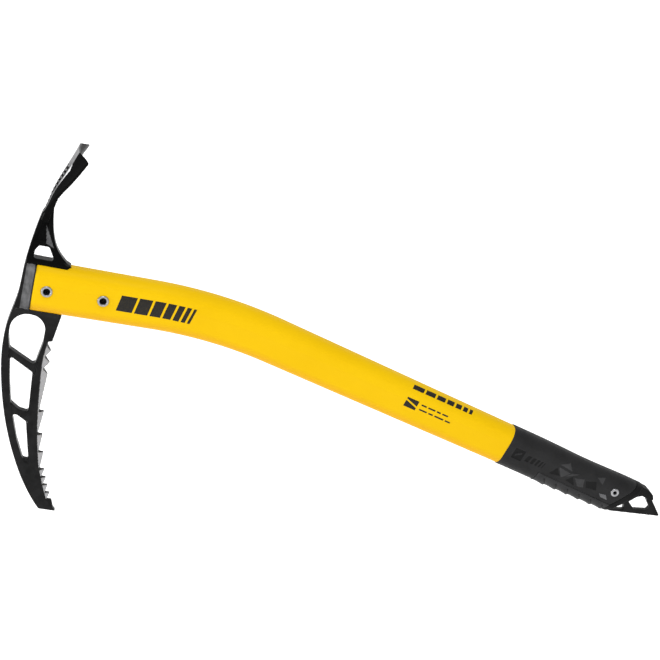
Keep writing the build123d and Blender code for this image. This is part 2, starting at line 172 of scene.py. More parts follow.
def drill(piece, *bars):
    """Cuts round holes across the piece: each bar is (x, z, radius) in millimetres."""
    shape = bmesh.new()
    for x, z, radius in bars:
        turn = Matrix.Translation((x * MM, 0, z * MM)) @ Matrix.Rotation(math.pi / 2, 4, "X")
        bmesh.ops.create_cone(shape, cap_ends=True, segments=48, radius1=radius * MM, radius2=radius * MM,
                              depth=DRILL_LENGTH * MM, matrix=turn)
    mesh = bpy.data.meshes.new("drill")
    shape.to_mesh(mesh)
    shape.free()
    cutter = bpy.data.objects.new("drill", mesh)
    bpy.context.scene.collection.objects.link(cutter)
    cut = piece.modifiers.new("drill", "BOOLEAN")
    cut.operation, cut.object, cut.solver = "DIFFERENCE", cutter, "EXACT"
    drilled = bpy.data.meshes.new_from_object(piece.evaluated_get(bpy.context.evaluated_depsgraph_get()))
    piece.modifiers.clear()
    piece.data = drilled
    bpy.data.objects.remove(cutter)


def ramp(value, low, high):
    """0 below low, 1 above high, smooth between."""
    share = np.clip((value - low) / (high - low), 0, 1)
    return share * share * (3 - 2 * share)


# ---------------------------------------------------------------- shaft geometry

def fillet(before, corner, after, radius, steps):
    """The points of an arc that rounds a corner."""
    to_before = (before - corner).normalized()
    to_after = (after - corner).normalized()
    half = to_before.angle(to_after) / 2
    centre = corner + (to_before + to_after).normalized() * (radius / math.sin(half))
    start = corner + to_before * (radius / math.tan(half)) - centre
    end = corner + to_after * (radius / math.tan(half)) - centre
    turn = start.angle(end)
    points = []
    for step in range(steps + 1):
        share = step / steps
        a, b = math.sin((1 - share) * turn) / math.sin(turn), math.sin(share * turn) / math.sin(turn)
        points.append(centre + start * a + end * b)
    return points


def half_outline(height, width):
    """The section's right half, (y, n) points from the top round the crease to the bottom."""
    half_height, half_width = height / 2, width / 2
    shoulder = SHOULDER_SHARE * half_width
    top, bottom = Vector((0, half_height)), Vector((0, -half_height))
    upper, crease = Vector((shoulder, half_height)), Vector((half_width, CREASE_RISE))
    under = Vector((shoulder, -half_height))
    radius = CORNER_SHARE * half_width
    first = [top, *fillet(top, upper, crease, radius, 12), crease]
    second = [crease, *fillet(crease, under, bottom, radius, 12), bottom]
    return first, second


def spread(line, count):
    """count + 1 points evenly spaced along a line of (y, n) points."""
    line = np.array([tuple(p) for p in line])
    steps = np.concatenate([[0], np.cumsum(np.hypot(*np.diff(line, axis=0).T))])
    at = np.linspace(0, steps[-1], count + 1)
    return np.stack([np.interp(at, steps, line[:, k]) for k in (0, 1)], 1)


def section_ring(height, width, above=26, below=30):
    """A closed ring of (y, n) points round the shaft, with points on both creases."""
    first, second = half_outline(height, width)
    right = np.concatenate([spread(first, above), spread(second, below)[1:]])
    left = right[-2:0:-1] * (-1, 1)
    return np.concatenate([right, left])


def axis_place(along):
    """The axis point (x, z) at a length from the head, and the turn there."""
    turn = min(max(0.0, along - BEND_FROM) / BEND_RADIUS, BEND_ANGLE)
    straight = min(along, BEND_FROM)
    past = max(0.0, along - BEND_FROM - BEND_LENGTH)
    x = straight + BEND_RADIUS * math.sin(turn) + past * math.cos(turn)
    z = BEND_RADIUS * (math.cos(turn) - 1) - past * math.sin(turn)
    return x, z, turn


def shaft_size(along):
    """The tube's height and width at a length from the head."""
    if along <= LENGTH_TO_GRIP:
        share = along / LENGTH_TO_GRIP
        return (HEAD_HEIGHT + (SLEEVED_HEIGHT - HEAD_HEIGHT) * share,
                HEAD_WIDTH + (SLEEVED_WIDTH - HEAD_WIDTH) * share)
    share = (along - LENGTH_TO_GRIP) / (SHAFT_END - GRIP_START)
    return (SLEEVED_HEIGHT + (END_HEIGHT - SLEEVED_HEIGHT) * share,
            SLEEVED_WIDTH + (END_WIDTH - SLEEVED_WIDTH) * share)


def on_axis(along, y, n):
    """The axe's point at a length along the axis, y across and n up from the axis."""
    x, z, turn = axis_place(along)
    return x + n * math.sin(turn), y, z + n * math.cos(turn)


def lower(s, y, n):
    """The axe's point at (s, n) on the lower shaft."""
    return on_axis(s + LOWER_OFFSET, y, n)


def skin_y(along, n, proud=0.0):
    """Half the tube's width at a height n above its axis."""
    height, width = shaft_size(along)
    first, second = half_outline(height + 2 * proud, width + 2 * proud)
    line = np.array([tuple(p) for p in (*first, *second)])
    return float(np.interp(-n, -line[:, 1], line[:, 0]))


# How far the visible tube runs on inside the grip, and how its head end's edge is rounded.
TUBE_IN_GRIP = 92
EDGE_ROUND = 0.35


def spike_rivet_place():
    """The spike rivet's place (x, z) in the axe's frame."""
    x, _, z = lower(SPIKE_RIVET_AT[0], 0, SPIKE_RIVET_AT[1])
    return x, z


def shaft(paint):
    """The bent tube, with its wall."""
    end = LENGTH_TO_GRIP + TUBE_IN_GRIP
    outer = np.unique(np.concatenate([np.linspace(EDGE_ROUND, BEND_FROM, 40),
                                      np.linspace(BEND_FROM, BEND_FROM + BEND_LENGTH, 70),
                                      np.linspace(BEND_FROM + BEND_LENGTH, end, 90)]))
    rows = [(0.0, -EDGE_ROUND)] + [(along, 0.0) for along in outer]
    rows += [(along, -WALL) for along in np.linspace(end, 0, 40)]
    points = []
    for along, proud in rows:
        height, width = shaft_size(along)
        for y, n in section_ring(height + 2 * proud, width + 2 * proud):
            points.append(on_axis(along, y, n))
    count = len(points) // len(rows)
    piece = add_piece("shaft", points, loop_faces(len(rows), count, True), "shaft_yellow", paint)
    head_holes = [(x, 0, RIVET_HOLE_R) for x in HEAD_RIVETS_X]
    drill(piece, *head_holes, (*spike_rivet_place(), SPIKE_RIVET_HOLE_R))
    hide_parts("shaft_tube")


# ---------------------------------------------------------------- printed marks

PRINT_RISE = 0.035


def print_patch(points, faces, side, corners):
    """Adds a thin printed patch to the tube's side: corners are four (along, n) places."""
    across, down = 10, 8
    grids = []
    for proud in (PRINT_RISE, -PRINT_RISE):
        grid = []
        for i in range(across + 1):
            for j in range(down + 1):
                u, v = i / across, j / down
                weights = ((1 - u) * (1 - v), u * (1 - v), u * v, (1 - u) * v)
                along = sum(w * c[0] for w, c in zip(weights, corners))
                n = sum(w * c[1] for w, c in zip(weights, corners))
                grid.append(on_axis(along, side * (skin_y(along, n) + proud), n))
        grids.append(grid)
    base, layer = len(points), len(grids[0])
    points += grids[0] + grids[1]

    def index(i, j, level):
        return base + level * layer + i * (down + 1) + j

    for i in range(across):
        for j in range(down):
            for level in (0, 1):
                faces.append((index(i, j, level), index(i + 1, j, level),
                              index(i + 1, j + 1, level), index(i, j + 1, level)))
    rim = [(i, 0) for i in range(across)] + [(across, j) for j in range(down)]
    rim += [(i, down) for i in range(across, 0, -1)] + [(0, j) for j in range(down, 0, -1)]
    for (i, j), (k, m) in zip(rim, rim[1:] + rim[:1]):
        faces.append((index(i, j, 0), index(k, m, 0), index(k, m, 1), index(i, j, 1)))


def slanted_bars(start, low, high, widths, gap, slant):
    """Four-cornered slanted bars in a row: (along, n) corners of each."""
    bars, at = [], start
    for width in widths:
        bars.append([(at, low), (at + width, low), (at + width + slant, high), (at + slant, high)])
        at += width + gap
    return bars


# The printed bars by the head and on the lower shaft: start, low and high edge, widths, gap and slant.
UPPER_BARS = (54, -4.9, 6.0, (10.4, 8.6, 7, 5.4, 4, 2.8, 1.8), 1.5, 2.2)
LOWER_PRINT_AT = 142 + LOWER_OFFSET
LOWER_BARS = (LOWER_PRINT_AT, 11.5, 13.9, (8.5, 7.4, 6.4, 5.4, 4.4, 3.4, 2.4), 1.5, 0.8)
# The printed badge, a square with a slanted gap, and the rows of dashes behind it.
BADGE_FROM, BADGE_TO = LOWER_PRINT_AT - 0.5, LOWER_PRINT_AT + 8.5
BADGE_LOW, BADGE_HIGH = -1.6, 5.4
DASHES_FROM = BADGE_FROM + 11.5
DASH_ROWS = [(3.4, (4, 5.5, 3, 4.5)), (-0.2, (6, 3.5, 7, 4))]
DASH_HEIGHT, DASH_GAP = 1.1, 1.3


def shaft_prints(ink):
    """Generic bars and dashes where a maker would print: nothing here is lettering."""
    bars = slanted_bars(*UPPER_BARS) + slanted_bars(*LOWER_BARS)
    bars.append([(BADGE_FROM, BADGE_LOW), (BADGE_TO, BADGE_LOW), (BADGE_TO, 0.2), (BADGE_FROM, 3.0)])
    bars.append([(BADGE_FROM, 4.2), (BADGE_TO, 1.4), (BADGE_TO, BADGE_HIGH), (BADGE_FROM, BADGE_HIGH)])
    for low, lengths in DASH_ROWS:
        at, high = DASHES_FROM, low + DASH_HEIGHT
        for length in lengths:
            bars.append([(at, low), (at + length, low), (at + length, high), (at, high)])
            at += length + DASH_GAP
    points, faces = [], []
    for side in (-1, 1):
        for bar in bars:
            print_patch(points, faces, side, bar)
    add_piece("shaft_print", points, faces, "shaft_yellow", ink)


# ---------------------------------------------------------------- head

def inside_share(s, n, corners):
    """1 inside a convex outline, falling to 0 over a third of a millimetre at its edges."""
    middle = np.mean(corners, axis=0)
    share = np.ones_like(s, dtype=float)
    for (s0, n0), (s1, n1) in zip(corners, corners[1:] + corners[:1]):
        edge = np.array([s1 - s0, n1 - n0])
        normal = np.array([-edge[1], edge[0]]) / np.hypot(*edge)
        if normal @ (middle - (s0, n0)) < 0:
            normal = -normal
        share = np.minimum(share, np.clip(((s - s0) * normal[0] + (n - n0) * normal[1]) / 0.35, 0, 1))
    return share


# The rail that carries the pick's teeth: (x, z) of its edge from the shaft to the point.
RAIL_EDGE = [(15.2, -36), (13.8, -50), (14.4, -64), (16.2, -84), (18.5, -102), (20.8, -115),
             (23.8, -127.5), (28.2, -140), (32.4, -150.3)]
# The finishes of the head's faces, in the order of its materials.
COAT, FLANK_REFLECTION, PAINTED_SHADE, FOLD_HIGHLIGHT, PAINTED_LIGHT = range(5)
# The adze's panel: the crown line it follows, its depth, its raised bars, and its half width at each end.
CROWN_FROM, CROWN_TO = Vector((-1.7, 50.5)), Vector((9.3, 83.9))
PANEL_DEPTH = 0.8
PANEL_BARS = 12
PANEL_HALF = (1.4, 9.0)
# The painted highlight, a bright sliver along each fold between the adze's crown and its wings: (z, fold's
# half width) at its two ends, and how far it reaches from the fold at its widest.
FOLD_FROM, FOLD_TO = (70.0, 8.3), (86.5, 11.0)
FOLD_REACH = 2.2


def adze_panel(points, normals):
    """How deep each point of the adze's crown sinks: a long panel with raised slanted bars in it."""
    line = CROWN_TO - CROWN_FROM
    length = line.length
    along = ((points[:, 0] - CROWN_FROM.x) * line.x + (points[:, 2] - CROWN_FROM.y) * line.y) / length
    outward = (-normals[:, 0] * line.y + normals[:, 2] * line.x) / length
    share = along / length
    half = PANEL_HALF[0] + (PANEL_HALF[1] - PANEL_HALF[0]) * np.clip(share, 0, 1)
    across = np.abs(points[:, 1])
    inside = ramp(along, 0, 0.6) * (1 - ramp(along, length - 0.6, length))
    inside = inside * (1 - ramp(across, half - 0.5, half))
    pitch = length / PANEL_BARS
    phase = np.mod(along + 0.25 * points[:, 1], pitch) / pitch
    bar = ramp(phase, 0.12, 0.24) * (1 - ramp(phase, 0.62, 0.74)) * (1 - ramp(across, half - 1.6, half - 1.2))
    return np.where(outward > 0.75, PANEL_DEPTH * inside * (1 - bar), 0)


# The adze's bow grows between these heights: its crown moves to -X and its wings' edges to +X.
BOW_FROM, BOW_TO = 55.0, 74.0
CROWN_BOW, WING_BOW = 0.8, 0.5
# Half the width of the adze's crown at some heights.
CROWN_Z = (45, 52.8, 63.9, 70.9, 77.85, 86.3, 94.5)
CROWN_HALF = (2.2, 3.6, 6.6, 8.6, 10.0, 11.0, 11.5)


def crown_half(z):
    """Half the width of the adze's crown at a height."""
    return np.interp(z, CROWN_Z, CROWN_HALF)


def bow(points):
    """How far each point of the head moves in X, so that the adze is bowed."""
    past = np.abs(points[:, 1]) - crown_half(points[:, 2])
    shift = WING_BOW * ramp(past, 0, 10) - CROWN_BOW * (1 - ramp(past, 0, 8))
    return ramp(points[:, 2], BOW_FROM, BOW_TO) * shift


def fold_sliver(y, z):
    """Whether a face at (y, z) on the adze's wing is in the sliver beside the fold that carries a painted
    highlight.
    """
    share = (z - FOLD_FROM[0]) / (FOLD_TO[0] - FOLD_FROM[0])
    if not 0 < share < 1:
        return False
    fold = FOLD_FROM[1] + (FOLD_TO[1] - FOLD_FROM[1]) * share
    reach = FOLD_REACH * min(share / 0.75, (1 - share) / 0.25)
    return 0.1 < abs(y) - fold < reach


# The cove beside the window of the adze's web, painted lighter as a painted light: (x, z) corners.
COVE = [(1.5, 41.8), (3.5, 29.8), (8.6, 27.4)]
COVE_TOP = 42.0
# The block across the tube's end, painted lighter as a painted light: its reach in X and half its height.
BLOCK_FROM, BLOCK_TO, BLOCK_HALF = -6.2, -0.9, 15.5
# The highest tooth's root, and where the web and the adze start.
TEETH_FROM, WEB_FROM, ADZE_FROM = -38.0, 14.5, 50.0


def head_finish(x, y, z, normal, rail_x, sunk):
    """The finish of a face of the head at (x, y, z), where the teeth's rail ends at rail_x."""
    outside = normal.y * math.copysign(1, y)
    # The teeth's flanks are painted light grey: a painted reflection.
    if abs(normal.y) > 0.72 and x - rail_x > 0.1 and RAIL_EDGE[-1][1] < z < TEETH_FROM:
        return FLANK_REFLECTION
    # The floor of the adze's sunk panel gets painted shade.
    if sunk > 0.5 * PANEL_DEPTH:
        return PAINTED_SHADE
    # The sliver beside each fold gets a painted highlight.
    if fold_sliver(y, z) and normal.x < 0:
        return FOLD_HIGHLIGHT
    # The adze's crown, the block across the tube's end and the cove get a painted light: a paler coat where
    # the light falls.
    if z > ADZE_FROM and abs(y) < crown_half(z) and normal.x < -0.6:
        return PAINTED_LIGHT
    if abs(z) < BLOCK_HALF and BLOCK_FROM < x < BLOCK_TO:
        return PAINTED_LIGHT
    if z < COVE_TOP and inside_share(x, z, COVE) > 0:
        return PAINTED_LIGHT
    # The adze's wings and the web's sides get painted shade.
    if z > ADZE_FROM and outside > 0.15 or WEB_FROM < z < ADZE_FROM and abs(normal.y) > 0.55:
        return PAINTED_SHADE
    return COAT


def head(*coats):
    """The forging: rounded edges, a bowed adze with its panel, and a finish for each face, some of them
    painted light and shade.
    """
    piece = refined("head_forging", "head", voxel=0.44, smoothing=3)
    points, normals = points_of(piece)
    sunk = adze_panel(points, normals)
    points -= normals * sunk[:, None]
    points[:, 0] += bow(points)
    set_points(piece, points)
    finish_piece(piece, "head_black", *coats)
    edge = np.array(RAIL_EDGE)[::-1]
    finishes = []
    for face in piece.data.polygons:
        x, y, z = (c / MM for c in face.center)
        rail_x = np.interp(z, edge[:, 1], edge[:, 0])
        finishes.append(head_finish(x, y, z, face.normal, rail_x, sunk[face.vertices[0]]))
    piece.data.polygons.foreach_set("material_index", finishes)


# ---------------------------------------------------------------- rivets

def rivet(node, name, ring, bore, steel, dark):
    """A tubular rivet with a rolled ring at each end, and its bore painted dark as painted shade."""
    low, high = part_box(node)
    centre = (low + high) / 2 / MM
    top = high.y / MM
    roll = (ring - bore) / 2
    profile = [(bore, 0.0)]
    turns = 12
    for step in range(turns + 1):
        angle = math.pi * step / turns
        rise = (top - RIVET_SEAT) * math.sin(angle)
        profile.append((bore + roll - roll * math.cos(angle), RIVET_SEAT + rise))
    profile.append((ring - 0.9, RIVET_SEAT - 0.25))
    profile.append((bore + 0.9, 0.0))
    profile += [(r, -h) for r, h in profile[-2:0:-1]]
    around = 48
    points = []
    for r, h in profile:
        for i in range(around):
            angle = 2 * math.pi * i / around
            points.append((centre.x + r * math.cos(angle), h, centre.z + r * math.sin(angle)))
    faces = loop_faces(len(profile), around, True)
    piece = add_piece(name, points, faces, "rivet_steel", steel, dark)
    inside = (bore + 0.25) * MM
    # Faces inside the bore get the painted shade.
    for face in piece.data.polygons:
        radius = math.hypot(face.center.x - centre.x * MM, face.center.z - centre.z * MM)
        face.material_index = 1 if radius < inside else 0
    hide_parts(node)


# ---------------------------------------------------------------- grip

PAD_START = 254.0
SEAM_FRONT, SEAM_REAR = -6.0, -7.2
SKIN_UNDER_PAD = 0.25
GRIP_WALL_FRONT, GRIP_WALL_END, GRIP_WALL_RUN = 0.5, 1.0, 46
BADGE_SINK, BAR_SINK = 0.4, 0.3


def seam_line(s):
    """The height of the seam between the grip and the finger pad."""
    return SEAM_FRONT + (SEAM_REAR - SEAM_FRONT) * (s - PAD_START) / (SHAFT_END - 5 - PAD_START)


# Low facets moulded into the grip's sides: (s, n) corners, how far each stands out, and its finish.
LIGHT, DARK, BRIGHT = 1, 2, 3
FACETS = [
    ([(260.1, -3.6), (264.0, 3.3), (268.9, -2.2)], -0.28, DARK),
    ([(264.4, 4.0), (269.8, -3.1), (275.2, 3.0)], 0.34, LIGHT),
    ([(264.6, 5.6), (271.3, 9.4), (275.6, 4.4)], 0.24, LIGHT),
    ([(271.4, -1.8), (283.0, 5.4), (275.8, 3.4)], 0.30, LIGHT),
    ([(273.6, -3.4), (277.7, 1.6), (282.4, -4.6)], -0.26, DARK),
    ([(279.2, 0.9), (286.5, 3.1), (288.8, -3.1), (284.3, -4.1)], 0.34, LIGHT),
    ([(287.9, 2.3), (295.6, 5.1), (298.9, -1.2), (290.4, -2.4)], -0.26, DARK),
    ([(294.5, 7.8), (300.9, 10.2), (300.7, 4.3)], 0.26, LIGHT),
    ([(301.6, -2.1), (307.2, -1.1), (310.3, -4.6), (304.1, -4.4)], 0.3, BRIGHT),
]


# A generic sunk badge, with a bar standing in it, and a row of sunk bars near the grip's front.
GRIP_BADGE = [(229.0, -4.2), (237.4, -4.2), (237.4, 4.2), (229.0, 4.2)]
GRIP_BADGE_BAR = [(231, -2.4), (235.6, 0.6), (235.6, 2.6), (231, -0.4)]
GRIP_BARS = slanted_bars(239.2, -2.7, 2.5, (3.4, 2.8, 2.2, 1.6, 1.0), 0.9, 1.1)


def badge_share(s, n):
    """1 in the sunk part of the badge, 0 outside it and on its bar."""
    return inside_share(s, n, GRIP_BADGE) * (1 - inside_share(s, n, GRIP_BADGE_BAR))


def grip_relief(s, n):
    """How far the grip's side stands out at each (s, n)."""
    rise = np.zeros_like(s)
    for corners, height, finish in FACETS:
        middle_s, middle_n = np.mean(corners, axis=0)
        slope = 1 + 0.07 * (s - middle_s) + 0.05 * (n - middle_n)
        rise += height * slope * inside_share(s, n, corners)
    rise -= BADGE_SINK * badge_share(s, n)
    for bar in GRIP_BARS:
        rise -= BAR_SINK * inside_share(s, n, bar)
    return rise


def grip_finish(s, n):
    """Which finish each place (s, n) on the grip's side has: 0 is the plain rubber."""
    finish = np.zeros(len(s), dtype=int)
    for corners, height, kind in FACETS:
        finish[inside_share(s, n, corners) > 0.5] = kind
    sunk = badge_share(s, n)
    for bar in GRIP_BARS:
        sunk = np.maximum(sunk, inside_share(s, n, bar))
    finish[sunk > 0.5] = DARK
    return finish


def lower_place(piece):
    """The (s, n) places of the middles of a piece's faces on the lower shaft, in millimetres."""
    centres = np.zeros(3 * len(piece.data.polygons))
    piece.data.polygons.foreach_get("center", centres)
    x, _, z = (centres.reshape(-1, 3) / MM).T
    x = x - BEND_CORNER_X
    return (x * math.cos(BEND_ANGLE) - z * math.sin(BEND_ANGLE),
            x * math.sin(BEND_ANGLE) + z * math.cos(BEND_ANGLE))


def normals_of(ring):
    """Unit normals of a closed ring of (y, n) points, pointing out."""
    ahead, behind = np.roll(ring, -1, axis=0), np.roll(ring, 1, axis=0)
    along = ahead - behind
    out = np.stack([-along[:, 1], along[:, 0]], 1) / np.hypot(*along.T)[:, None]
    if (out * ring).sum() < 0:
        out = -out
    return out


def seam_ring(height, width, seam, above, below):
    """A ring like section_ring, but with its points on the seam instead of the crease."""
    first, second = half_outline(height, width)
    line = np.array([tuple(p) for p in (*first, *second[1:])])
    at = np.interp(-seam, -line[:, 1], np.arange(len(line)))
    cut = int(at)
    point = line[cut] + (line[min(cut + 1, len(line) - 1)] - line[cut]) * (at - cut)
    upper = np.concatenate([line[:cut + 1], [point]])
    under = np.concatenate([[point], line[cut + 1:]])
    right = np.concatenate([spread(upper, above), spread(under, below)[1:]])
    left = right[-2:0:-1] * (-1, 1)
    return np.concatenate([right, left])


def grip_wall(s):
    """How far the grip's skin stands out from the tube."""
    share = ramp(s, GRIP_START, GRIP_START + GRIP_WALL_RUN)
    return GRIP_WALL_FRONT + (GRIP_WALL_END - GRIP_WALL_FRONT) * share


# The grip's back dips a little between these places.
WAIST_FROM, WAIST_MIDDLE, WAIST_TO = 236.0, 284.0, 326.0
WAIST_DEPTH = 0.8


def waist(s, n):
    """How much thinner the grip's wall is along its back."""
    dip = ramp(s, WAIST_FROM, WAIST_MIDDLE) * (1 - ramp(s, WAIST_MIDDLE, WAIST_TO))
    return WAIST_DEPTH * dip * ramp(n, 2.0, 11.0)


def grip(*rubbers):
    """The moulded sleeve, thin under the finger pad, with its badge and facets."""
    above, below = 84, 34
    rows = 250
    points = []
    for row in range(rows):
        share = row / (rows - 1)
        s = GRIP_START + (GROOVE_AT - GRIP_START) * share
        height, width = shaft_size(s + LOWER_OFFSET)
        ring = seam_ring(height, width, seam_line(max(s, PAD_START)), above, below)
        out = normals_of(ring)
        places = s + ring[:, 1] / math.tan(END_FACE_TILT) * ramp(share, 0.55, 1.0)
        under = ramp(seam_line(places) - ring[:, 1], -0.12, 0.12) * ramp(places, PAD_START - 1.5, PAD_START)
        wall = grip_wall(places) - waist(places, ring[:, 1])
        wall = wall + grip_relief(places, ring[:, 1]) * (1 - under)
        wall = wall * (1 - under) + SKIN_UNDER_PAD * under
        edge = min(s - GRIP_START, (GROOVE_AT - s) * 1.6)
        wall = np.maximum(wall - 0.42 * (1 - min(1.0, edge / 0.8)) ** 2, 0.1)
        for (y, n), normal, place, rise in zip(ring, out, places, wall):
            points.append(lower(place, y + normal[0] * rise, n + normal[1] * rise))
    back = 12
    for row in range(back):
        share = 1 - row / (back - 1)
        s = GRIP_START + (GROOVE_AT - GRIP_START) * share
        height, width = shaft_size(s + LOWER_OFFSET)
        ring = seam_ring(height, width, seam_line(max(s, PAD_START)), above, below)
        for y, n in ring:
            points.append(lower(s + n / math.tan(END_FACE_TILT) * ramp(share, 0.55, 1.0), y, n))
    count = 2 * (above + below)
    piece = add_piece("grip", points, loop_faces(rows + back, count, True), "grip_rubber", *rubbers)
    piece.data.polygons.foreach_set("material_index", grip_finish(*lower_place(piece)))
    drill(piece, (*spike_rivet_place(), SPIKE_RIVET_HOLE_R))
    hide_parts("grip_sleeve")


# The waves: their pitch along the grip, how far each leans back on its way up, and how high it stands.
WAVE_PITCH, WAVE_LEAN, WAVE_HEIGHT = 9.9, 8.5, 1.45
PAD_SKIN, PAD_BODY, PAD_INSIDE = 0.45, 0.6, 0.3
RIM_WIDTH = 2.2
PAD_ROWS, PAD_HALF_STEPS = 190, 34


def wave_at(place, turn):
    """The share of its wave that a place on the pad has reached, from 0 to 1."""
    return math.modf((place + WAVE_LEAN * abs(turn)) / WAVE_PITCH + 100)[0]


def pad_rise(place, turn, wave):
    """How far the pad's surface stands out from the tube: turn is 0 at the belly and 1 at the seam."""
    depth = 1 - abs(turn)
    bump = wave * wave * (1 - float(ramp(wave, 0.82, 1.0))) * WAVE_HEIGHT
    rim = min(depth * 13.0, place - PAD_START + 0.05, RIM_WIDTH) / RIM_WIDTH
    rim = math.sqrt(max(0.0, 1 - (1 - min(1.0, rim)) ** 2))
    return PAD_SKIN + PAD_BODY * rim + bump * rim * float(ramp(depth, 0.04, 0.4)) * 0.85


def finger_pad(rubber, shade):
    """The pad under the fingers: overlapping waves that run up its sides, with a rounded rim."""
    rows, half = PAD_ROWS, PAD_HALF_STEPS
    grids = {"outer": [], "inner": []}
    waves = []
    for row in range(rows + 1):
        share = row / rows
        s = PAD_START + (GROOVE_AT - PAD_START) * share
        slant = float(ramp(share, 0.2, 1.0)) / math.tan(END_FACE_TILT)
        height, width = shaft_size(s + LOWER_OFFSET)
        under = seam_ring(height, width, seam_line(s) - 0.3, 2, half)[2:2 + half + 1]
        for step in range(-half, half + 1):
            turn, side = step / half, -1 if step < 0 else 1
            y, n = under[half - abs(step)]
            ahead = under[max(half - abs(step) - 1, 0)] - under[min(half - abs(step) + 1, half)]
            out = np.array([ahead[1], -ahead[0]]) / np.hypot(*ahead)
            if out @ (y, n) < 0:
                out = -out
            place = s + n * slant
            wave = wave_at(place, turn)
            waves.append(wave if abs(turn) < 0.88 else 0.5)
            for grid, rise in (("outer", pad_rise(place, turn, wave)), ("inner", PAD_INSIDE)):
                grids[grid].append(lower(place, side * (y + out[0] * rise), n + out[1] * rise))
    points = grids["outer"] + grids["inner"]
    width = 2 * half + 1
    layer = len(grids["outer"])
    faces = []
    for row in range(rows):
        for i in range(width - 1):
            a = row * width + i
            quad = (a, a + 1, a + width + 1, a + width)
            faces.append(quad)
            faces.append(tuple(k + layer for k in quad))
    rim = [(0, i) for i in range(width - 1)] + [(row, width - 1) for row in range(rows)]
    rim += [(rows, i) for i in range(width - 1, 0, -1)] + [(row, 0) for row in range(rows, 0, -1)]
    index = [row * width + i for row, i in rim]
    for a, b in zip(index, index[1:] + index[:1]):
        faces.append((a, b, b + layer, a + layer))
    piece = add_piece("finger_pad_rubber", points, faces, "pad_rubber", rubber, shade)
    # The creases between the waves get the darker rubber: painted shade.
    for face in piece.data.polygons:
        corner = min(face.vertices)
        face.material_index = 1 if corner < layer and not 0.03 < waves[corner] < 0.91 else 0
    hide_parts("finger_pad")


# ---------------------------------------------------------------- spike end

def spike(coat):
    """The flat spike with rounded edges."""
    piece = refined("spike_plate", "spike", voxel=0.28, smoothing=2)
    finish_piece(piece, "spike_black", coat)


def plug(nylon):
    """The moulded plug with its lip and nose."""
    piece = refined("spike_plug", "end_plug", voxel=0.4, smoothing=3)
    finish_piece(piece, "plug_plastic", nylon)


# ---------------------------------------------------------------- materials

class Paint:
    """A small helper that builds one Principled material node by node."""

    def __init__(self, name, roughness=0.5, metallic=0.0, specular=0.5):
        self.material = bpy.data.materials.new(name)
        self.material.use_nodes = True
        self.tree = self.material.node_tree
        self.shader = self.tree.nodes["Principled BSDF"]
        self.shader.inputs["Roughness"].default_value = roughness
        self.shader.inputs["Metallic"].default_value = metallic
        self.shader.inputs["Specular IOR Level"].default_value = specular
        self.place = self.add("ShaderNodeTexCoord").outputs["Object"]

    def add(self, kind, **settings):
        node = self.tree.nodes.new(kind)
        for key, value in settings.items():
            setattr(node, key, value)
        return node

    def link(self, source, target):
        self.tree.links.new(source, target)

    def noise(self, scale, detail=4.0, roughness=0.55, stretch=None):
        node = self.add("ShaderNodeTexNoise")
        node.inputs["Scale"].default_value = scale
        node.inputs["Detail"].default_value = detail
        node.inputs["Roughness"].default_value = roughness
        source = self.place
        if stretch:
            mapping = self.add("ShaderNodeMapping")
            mapping.inputs["Scale"].default_value = stretch
            self.link(source, mapping.inputs["Vector"])
            source = mapping.outputs["Vector"]
        self.link(source, node.inputs["Vector"])
        return node.outputs["Fac"]

    def ramp(self, source, low, high, start, end):
        """Maps source from low..high to start..end."""
        node = self.add("ShaderNodeMapRange", clamp=True)
        for name, value in (("From Min", low), ("From Max", high), ("To Min", start), ("To Max", end)):
            node.inputs[name].default_value = value
        self.link(source, node.inputs["Value"])
        return node.outputs["Result"]

    def mix(self, share, first, second):
        node = self.add("ShaderNodeMix", data_type="RGBA")
        self.link(share, node.inputs["Factor"])
        for socket, value in ((node.inputs["A"], first), (node.inputs["B"], second)):
            if isinstance(value, tuple):
                socket.default_value = (*value, 1)
            else:
                self.link(value, socket)
        return node.outputs["Result"]

    def edges(self, low, high):
        """0 on flats and 1 on sharp outward edges."""
        return self.ramp(self.add("ShaderNodeNewGeometry").outputs["Pointiness"], low, high, 0, 1)

    def colour(self, source):
        self.link(source, self.shader.inputs["Base Color"])

    def roughness(self, source):
        self.link(source, self.shader.inputs["Roughness"])

    def bump(self, height, strength, distance):
        node = self.add("ShaderNodeBump")
        node.inputs["Strength"].default_value = strength
        node.inputs["Distance"].default_value = distance * MM
        self.link(height, node.inputs["Height"])
        self.link(node.outputs["Normal"], self.shader.inputs["Normal"])


def black_coat(name, shade=0.003, specular=0.10):
    """Satin black coating on forged steel: fine grain, faint mottling, and lighter sharp edges, partly worn
    and partly a painted highlight along the edges.
    """
    paint = Paint(name, specular=specular)
    mottled = paint.mix(paint.ramp(paint.noise(160), 0.35, 0.65, 0, 1),
                        (shade, shade, shade * 1.05), (shade * 3, shade * 3, shade * 3.1))
    # Sharp edges are painted lighter: partly wear, partly a painted highlight along the edges.
    worn_and_highlit_edges = paint.mix(paint.edges(0.53, 0.62), mottled, (0.09, 0.09, 0.094))
    paint.colour(worn_and_highlit_edges)
    paint.roughness(paint.ramp(paint.noise(420, 6), 0.3, 0.7, 0.26, 0.40))
    paint.bump(paint.noise(2600, 3), 0.3, 0.04)
    return paint.material


def painted_shade_coat():
    """Matt black painted shade for the floor of the adze's sunk panel and for its wings and web."""
    paint = Paint("painted_shade_coat", specular=0.05)
    grain = paint.ramp(paint.noise(900), 0.3, 0.7, 0, 1)
    paint.colour(paint.mix(grain, (0.001, 0.001, 0.001), (0.004, 0.004, 0.004)))
    paint.roughness(paint.ramp(paint.noise(900), 0.3, 0.7, 0.75, 0.95))
    return paint.material


